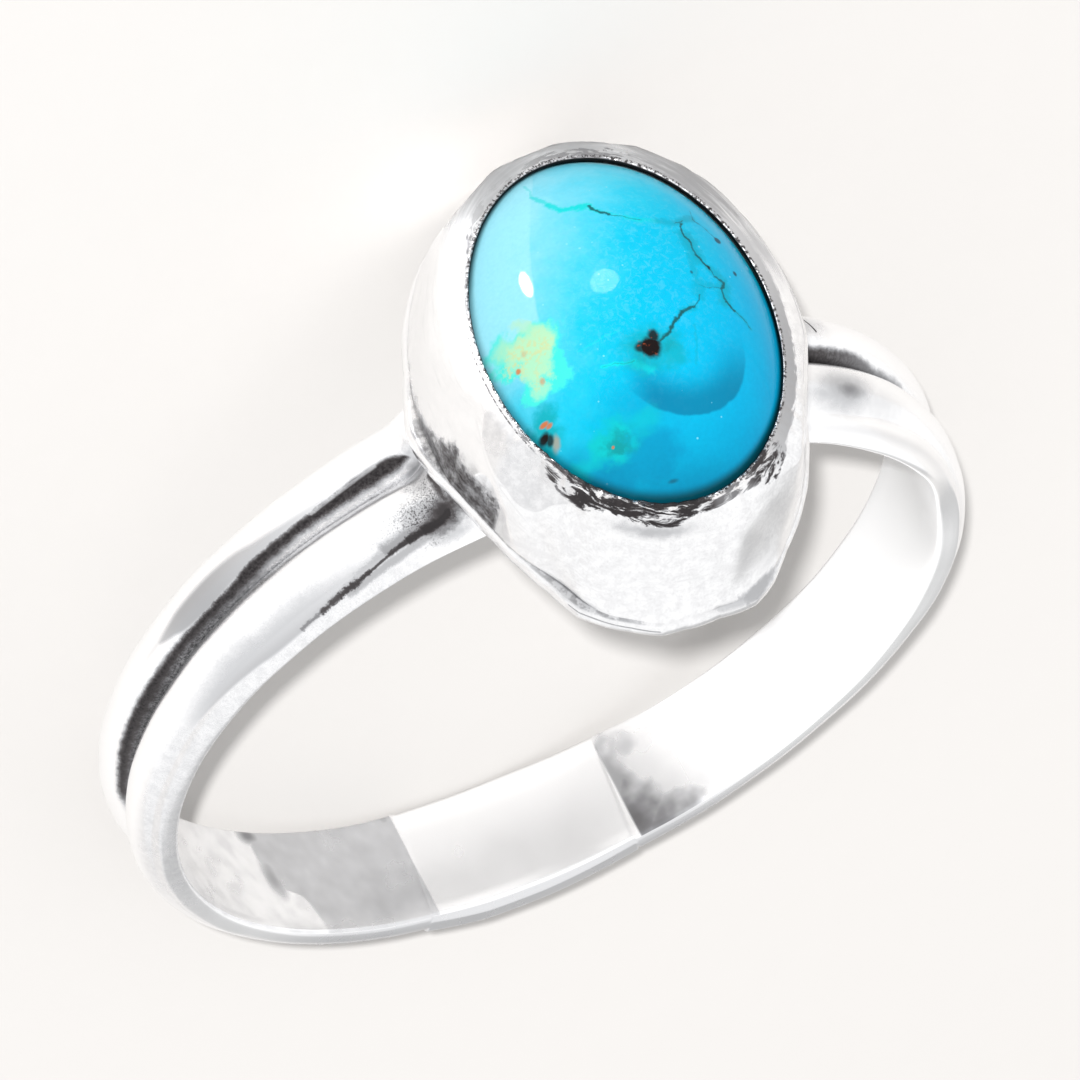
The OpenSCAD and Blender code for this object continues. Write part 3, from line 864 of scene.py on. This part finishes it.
# Stone
# An oval turquoise ground to a high dome and polished: sky blue, with brown and green rock left in it
# as spots, cracks and fine veins. It sits in the bezel, held only by the lip.
seat = plate_top + 0.1
columns = 288
facing = np.radians(np.arange(columns) * 360 / columns)
profile = [
    (1, seat), (2.2, seat), (2.95, seat), (3.1, seat + 0.03), (3.175, seat + 0.12), (3.2, seat + 0.25)]
profile += [(stone_b, z) for z in np.linspace(seat + 0.5, girdle - 0.1, 5)]
for t in np.linspace(math.asin((girdle - dome_mid) / dome_full), math.radians(88.5), 60):
    profile.append((dome_b * math.cos(t), dome_mid + dome_full * math.sin(t)))
b = np.array([p[0] for p in profile])[:, None]
z = np.array([p[1] for p in profile])[:, None]
swell = hand_wave(np.degrees(facing)[None], z * 2, 0.006, [(2, 0.7, 0.5), (3, 1.3, 2.1), (5, -0.9, 4.0)])
b = b + swell * eased_step(girdle, girdle + 0.5, z) * eased_step(0.0, 1.5, b)
points = np.stack([b * np.cos(facing), b * oval * np.sin(facing), z + 0 * facing], -1)
tops = lying(on_setting(np.array([[0, 0, seat], [0, 0, dome_mid + dome_full]])))
stone = skin(
    "stone", lying(on_setting(points)), close_rows=False, fans=[(0, tops[0]), (len(profile) - 1, tops[1])])

turquoise, tree, shader = new_material("turquoise")
here = use(tree, on_plate)
facing, reach, place = (here[name] for name in ("Facing", "Reach", "Place"))


def bend(closeness, size):
    """Places pushed about by noise, so that lines and edges drawn through them wander."""
    fill = {"Vector": place, "Scale": closeness, "Detail": 4.0, "Roughness": 0.6}
    push = put(tree, "TexNoise", fill)["Color"].vector("SUBTRACT", (0.5, 0.5, 0.5)).vector("SCALE", size)
    return place.vector("ADD", push).vector("MULTIPLY", (1, 1, 0))


bent = bend(3.0, 0.22)
straight = put(tree, "SeparateXYZ", {0: place})
wandering = put(tree, "SeparateXYZ", {0: bend(2.0, 0.60)})
across, along = straight[0], straight[1]
grain = noise(place, 2.6, 5, 0.6)
fine = noise(place, 11, 3, 0.6)
cloud = noise(place, 0.9, 4, 0.6, 0.4)


def tint(below, colour, mask):
    """A colour laid over another by a mask."""
    return put(mask.tree, "MixRGB", {0: mask, 1: below, 2: (*colour, 1)}, blend_type="MIX")[0]


# painted light and shade over the stone's own cloudy blue: it pales from the near right of the stone to its
# far left, and deepens towards the finger's tip
paleness_and_painted_light = across * 0.62 + along * -0.4
paleness_and_painted_light += (cloud - 0.5) * 1.2
paleness_and_painted_light += (grain - 0.5) * 0.8
# painted reflection: a sharp-edged pale band over the left of the stone
reflection_edge = along.follow([
    (-4.3, 0.6), (-3.47, 0.97), (-2.45, 1.41), (-1.56, 1.72), (-0.35, 1.98), (0.2, 2.04), (1.2, 2.3)])
painted_reflection_band = (across - reflection_edge).between(-0.04, 0.04) * along.between(1.3, -0.4)
paleness_and_painted_light += painted_reflection_band * 1.05
# painted reflection: a pale band along the far rim
far_rim_reflection = facing.follow([(0, 0), (165, 0), (190, 0.6), (225, 1), (255, 0.9), (275, 0), (360, 0)])
paleness_and_painted_light += far_rim_reflection * reach.between(2.86, 2.96) * 2.4
blue = ramp(put(tree, "MapRange", {0: paleness_and_painted_light, 1: -3, 2: 3})[0], [
    (0, 0.001, 0.23, 0.42), (0.25, 0.001, 0.262, 0.435), (0.5, 0.001, 0.282, 0.418),
    (0.58, 0.008, 0.296, 0.414), (0.667, 0.038, 0.318, 0.42), (0.75, 0.08, 0.335, 0.424),
    (0.85, 0.14, 0.365, 0.44), (1, 0.16, 0.385, 0.455)])
# painted shade: darker towards the finger's tip, with a little random depth
depth_and_shade = along.follow([
    (-4.3, 1.3), (-3, 1.22), (-1.5, 1.08), (0, 1), (1.2, 0.95), (2.2, 0.9), (3, 0.8), (3.7, 0.66),
    (4.3, 0.5)])
depth_and_shade += (fine - 0.5) * 0.16
colour = blue.vector("SCALE", depth_and_shade)


def veins(chains):
    """Fine lines in the stone. Columns: across, along, half width, strength."""
    return darkest(lines(bent, fine, chains, ragged=0.35))


def spots(rows, where=wandering):
    """Ragged spots. Columns: across, along, half across, half along, softness, raggedness, strength."""
    return darkest(patches(where[0], where[1], grain, rows))


# painted reflection: a deeper blue crescent at the near right, sharp outside and melting inwards; the dark
# wedge beside it is painted shade
from_middle = length(across + 0.50, along - 1.33)
from_middle += (grain - 0.5) * 0.1
dark_reflection_crescent = from_middle.between(1.45, 1.39) * from_middle.between(0.45, 1.2)
dark_reflection_crescent *= along.between(1, 2.4) * across.between(0.95, 0.25)
colour = tint(colour, (0.001, 0.105, 0.19), dark_reflection_crescent * 0.88)
# a net of paler blue over the top, and bright dust
net = noise(place, 7, 4, 0.75, 0.6)
netted = net.between(0.46, 0.66) * spots([(0.5, -1.1, 2.2, 2.2, 1, 0.3, 0.26)], straight)
colour = tint(colour, (0.11, 0.36, 0.432), netted)
dust = put(tree, "TexVoronoi", {"Vector": place, "Scale": 2.6})[0]
dust = dust.between(0.075, 0.045) * cloud.between(0.46, 0.54)
colour = tint(colour, (0.17, 0.42, 0.47), dust * 0.55)
# painted shade: darker blue towards the finger's tip, the dark wedge beside the crescent
colour = tint(colour, (0.001, 0.085, 0.17), spots([
    (0.62, 3.3, 0.62, 0.55, 0.45, 0.5, 0.48), (1.55, 3.45, 0.8, 0.42, 0.8, 0.5, 0.66),
    (2.05, 2.95, 0.4, 0.3, 0.9, 0.5, 0.4), (0.6, 2.35, 0.75, 0.45, 1, 0.4, 0.3),
    (0.5, 3.9, 1.5, 0.34, 0.9, 0.2, 0.4)], straight))
# green veins, and green round the spots of rock
colour = tint(colour, (0.003, 0.39, 0.395), veins([
    [(1.05, -3.55), (1.1, -3.1, 0.03, 0.4)],
    [
        (1.1, -3.07), (0.95, -2.68, 0.06, 0.7), (0.8, -2.44, 0.09, 0.9), (0.45, -2.33, 0.08, 0.95),
        (0.25, -2.34, 0.1, 0.95), (0.14, -2.12, 0.06, 0.7), (-0.35, -1.85, 0.04, 0.5),
        (-0.64, -1.7, 0.07, 0.6), (-0.99, -1.66, 0.07, 0.4)],
    [(1.15, 1.43), (0.54, 1.5, 0.04, 0.8)], [(0.54, 1.55), (0.24, 1.75, 0.1, 0.6)],
    [(0.62, 0.8), (1.52, 0.95, 0.02, 0.3)]]))
colour = tint(colour, (0.002, 0.215, 0.3), veins([
    [(-0.99, -1.66), (-1.38, -1.61, 0.11, 0.6), (-1.84, -1.82, 0.09, 0.7)],
    [(-1.46, -1.27), (-1.55, -0.66, 0.19, 0.85)], [(-1.4, -0.7), (-1.3, -0.2, 0.09, 0.6)],
    [(-1.73, -0.42), (-1.93, -0.09, 0.11, 0.8), (-1.82, 0.39, 0.15, 0.85)],
    [(-1.83, 0.11), (-1.33, -0.02, 0.08, 0.6), (-1.25, 0.26, 0.14, 0.6)],
    [(-1.04, 0.54), (-0.76, 0.61, 0.09, 0.6)], [(-0.95, 0.95), (-0.75, 1.75, 0.035, 0.5)],
    [(-1.98, 0.58), (-2.26, 0.9, 0.05, 0.6)]]))
colour = tint(colour, (0.003, 0.2, 0.235), spots([
    (0.2, 1.3, 0.46, 0.4, 0.7, 1, 0.85), (-0.3, 1.42, 0.28, 0.34, 0.7, 1.2, 0.7),
    (2.38, 2.1, 0.26, 0.46, 0.5, 0.8, 0.95), (0.55, 1.55, 0.3, 0.12, 0.8, 0.8, 0.5)]))
colour = tint(colour, (0.002, 0.262, 0.262), spots([
    (1.36, 2.84, 0.46, 0.32, 0.5, 0.9, 0.85), (0.72, 2.66, 0.46, 0.22, 0.7, 1, 0.45),
    (1.9, 3.05, 0.55, 0.14, 0.7, 1, 0.5)]))
colour = tint(colour, (0.003, 0.13, 0.135), grain.between(0.44, 0.62) * spots([
    (1.2, 2.9, 0.36, 0.28, 0.6, 0.8, 0.8), (0.1, 1.3, 0.5, 0.46, 0.7, 0.8, 0.6)]))
# a patch of yellow-green rock with a bright green border
colour = tint(colour, (0.03, 0.4, 0.35), spots([
    (2.32, 0.46, 0.64, 0.48, 0.16, 0.5, 0.95), (2.12, 1.02, 0.4, 0.46, 0.18, 0.6, 0.95),
    (2.42, 1.24, 0.22, 0.36, 0.2, 0.6, 0.9), (2.8, 0.2, 0.22, 0.3, 0.3, 0.5, 0.8)]))
colour = tint(colour, (0.23, 0.385, 0.245), spots([
    (2.28, 0.42, 0.46, 0.36, 0.3, 0.6, 0.95), (2.3, 0.86, 0.27, 0.34, 0.3, 0.8, 0.85),
    (2.66, 0.25, 0.26, 0.22, 0.5, 0.6, 0.65), (2.36, -0.02, 0.13, 0.2, 0.5, 0.5, 0.7),
    (2.34, 1.22, 0.13, 0.22, 0.5, 0.7, 0.6)]))
colour = tint(colour, (0.3, 0.33, 0.17), fine.between(0.46, 0.6) * spots([
    (2.38, 0.56, 0.42, 0.34, 0.5, 0.5, 0.75), (2.28, 1.15, 0.16, 0.2, 0.5, 0.5, 0.6)]))
colour = tint(colour, (0.3, 0.085, 0.025), spots([
    (2.61, 0.76, 0.045, 0.06, 0.4, 0.5, 0.85), (2.27, 1.2, 0.05, 0.07, 0.5, 0.5, 0.55),
    (2.41, 1.97, 0.075, 0.05, 0.4, 0.6, 0.95), (2.33, 2.04, 0.06, 0.05, 0.4, 0.6, 0.85),
    (2.44, 0.5, 0.05, 0.06, 0.6, 0.5, 0.3), (1.3, 2.93, 0.03, 0.03, 0.4, 0.4, 0.8)], straight))
colour = tint(colour, (0.2, 0.165, 0.12), spots([(2.27, 2.38, 0.06, 0.14, 0.6, 0.6, 0.75)], straight))
# cracks filled with dark rock
colour = tint(colour, (0.006, 0.055, 0.06), veins([
    [
        (-0.12, 1.18), (-0.4, 1.04, 0.036, 0.95), (-0.58, 0.75, 0.038, 0.97), (-0.76, 0.61, 0.038, 0.97),
        (-1.04, 0.54, 0.032, 0.9), (-1.19, 0.39, 0.019, 0.65), (-1.25, 0.26, 0.019, 0.65)],
    [
        (0.25, -2.34), (0.14, -2.12, 0.032, 0.9), (-0.05, -1.98, 0.032, 0.92), (-0.35, -1.85, 0.014, 0.7),
        (-0.64, -1.7, 0.012, 0.5)],
    [(-1.36, -1.62), (-1.6, -1.68, 0.018, 0.6)], [(-1.84, -1.82), (-1.9, -2.06, 0.016, 0.5)],
    [
        (-1.49, -1.6), (-1.46, -1.27, 0.03, 0.9), (-1.52, -1.03, 0.03, 0.9), (-1.53, -0.72, 0.03, 0.75),
        (-1.73, -0.42, 0.034, 0.92), (-1.76, -0.22, 0.016, 0.7), (-1.93, -0.09, 0.026, 0.8),
        (-1.83, 0.11, 0.032, 0.9), (-1.82, 0.39, 0.026, 0.8), (-1.98, 0.58, 0.032, 0.92),
        (-2.26, 0.9, 0.014, 0.6)],
    [(-1.83, 0.11), (-1.49, 0.09, 0.012, 0.5), (-1.33, -0.02, 0.012, 0.4)],
    [(-1.84, -1.82), (-2.25, -1.33, 0.019, 0.65)], [(1.15, 1.43), (0.54, 1.5, 0.012, 0.35)]]))
colour = tint(colour, (0.006, 0.004, 0.004), spots([
    (0.11, 1.28, 0.21, 0.22, 0.3, 0.6, 1), (0, 1.07, 0.12, 0.14, 0.4, 0.5, 0.95),
    (0.28, 1.24, 0.16, 0.12, 0.4, 0.6, 0.9), (2.45, 2.2, 0.1, 0.12, 0.4, 0.5, 1),
    (2.36, 2.27, 0.07, 0.11, 0.4, 0.5, 0.9), (-2.25, -1.26, 0.07, 0.08, 0.3, 0.3, 0.8),
    (-2.33, -0.39, 0.04, 0.06, 0.4, 0.3, 0.8), (-1.27, -0.29, 0.03, 0.04, 0.4, 0.3, 0.6),
    (-1.71, -0.42, 0.03, 0.05, 0.4, 0.3, 0.8), (0.24, 3.77, 0.09, 0.03, 0.6, 0.6, 0.5)], straight))
colour = tint(colour, (0.15, 0.03, 0.01), fine.between(0.56, 0.66) * spots([
    (0, 1.03, 0.12, 0.1, 0.4, 0.3, 0.9), (0.26, 1.2, 0.14, 0.1, 0.4, 0.3, 0.9),
    (0.14, 1.42, 0.16, 0.06, 0.4, 0.3, 0.5)], straight))
# dirt and shade in the crevice under the lip
crevice_from = facing.follow([
    (0, 2.94), (60, 2.92), (100, 2.9), (140, 2.96), (180, 3), (210, 3.03), (265, 3.04), (300, 2.98),
    (360, 2.94)])
crevice = facing.follow([
    (0, 0.35), (50, 0.55), (70, 0.8), (100, 0.92), (140, 0.96), (200, 0.96), (225, 0.8), (245, 0.35),
    (270, 0.15), (285, 0.85), (315, 0.9), (335, 0.5), (360, 0.35)])
colour = tint(colour, (0.001, 0.022, 0.028), crevice * (reach - crevice_from).between(0, 0.13))
colour.into(shader["Base Color"])
fine.between(0.3, 0.8, 0.03, 0.09).into(shader["Roughness"])
shader["IOR"].default_value = 1.61
shader["Specular IOR Level"].default_value = 0.05
bump(cloud, 0.2, 0.01).into(shader["Normal"])
stone.data.materials.append(turquoise)
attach(stone, "root")
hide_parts("turquoise_stone")

# Table and light
# A plain pale table in a white room, under one soft lamp close to the camera. The room is greyer low
# down at the back, which shades the silver, and two small lit cards stand low in front of the stone.
half = 3.0
table_mesh = bpy.data.meshes.new("table")
corners = [(-half, -half, 0), (half, -half, 0), (half, half, 0), (-half, half, 0)]
table_mesh.from_pydata(corners, [], [(0, 1, 2, 3)])
table = stand("table", table_mesh)
paper, tree, shader = new_material("pale paper")
fibre = noise(put(tree, "TexCoord")["Object"], 900.0, 2.0)
tint((0.506, 0.492, 0.479, 1), (0.511, 0.497, 0.484), fibre).into(shader["Base Color"])
shader["Roughness"].default_value = 0.9
shader["Specular IOR Level"].default_value = 0.1
table_mesh.materials.append(paper)

room = bpy.data.worlds.new("white room")
bpy.context.scene.world = room
room.use_nodes = True
tree = room.node_tree
sky = tree.nodes["Background"].inputs
towards = put(tree, "TexCoord")["Generated"]
greyer = towards.vector("DOT_PRODUCT", Vector((-0.35, 0.91, 0.15)).normalized()).between(0.80, 0.97)
low_down = put(tree, "SeparateXYZ", {0: towards})[2].between(0.25, 0.80, 1.0, 0.0)
(greyer * low_down).between(0.0, 1.0, 1.0, 0.5).into(sky["Strength"])
sky["Color"].default_value = (1.0, 1.0, 1.0, 1)


def hang_light(name, shape, width, height, watts, middle, away, ray):
    """An area light at a distance along a ray from a place that it faces. All in metres."""
    light = bpy.data.lights.new(name, "AREA")
    light.shape, light.size, light.size_y, light.energy = shape, width, height, watts
    holder = stand(name, light)
    ray = (picture_right * ray[0] + picture_up * ray[1] + picture_back * ray[2]).normalized()
    holder.location = Vector(middle) + ray * away
    holder.rotation_mode = "QUATERNION"
    holder.rotation_quaternion = ray.to_track_quat("Z", "Y")
    return holder


ring_middle = (0, 0, 0.005)
lamp = hang_light("soft lamp", "DISK", 0.035, 0.035, 24.0, ring_middle, 1.2, (-0.027, 0.029, 1))
lamp.visible_glossy = False

# The cards show only in mirrored rays. Columns: name, place on the stone that it is mirrored by,
# mirrored ray (picture right, up, back), width and height in mm, brightness against the long card.
full_glow = 640 / 1e6
for name, seen_at, ray, width, height, glow in (
    ("long card", (1.99, -0.90, 12.75), (-0.63, 0.74, 0.25), 0.75, 1.50, 1.0),
    ("round card", (0.59, -0.35, 13.30), (0.01, 0.91, 0.42), 1.90, 1.20, 0.09),
):
    watts = glow * full_glow * width * height
    card = hang_light(name, "ELLIPSE", width / 1000, height / 1000, watts,
                      lying(on_setting(np.array(seen_at))), 0.005, ray)
    card.visible_camera = card.visible_diffuse = False
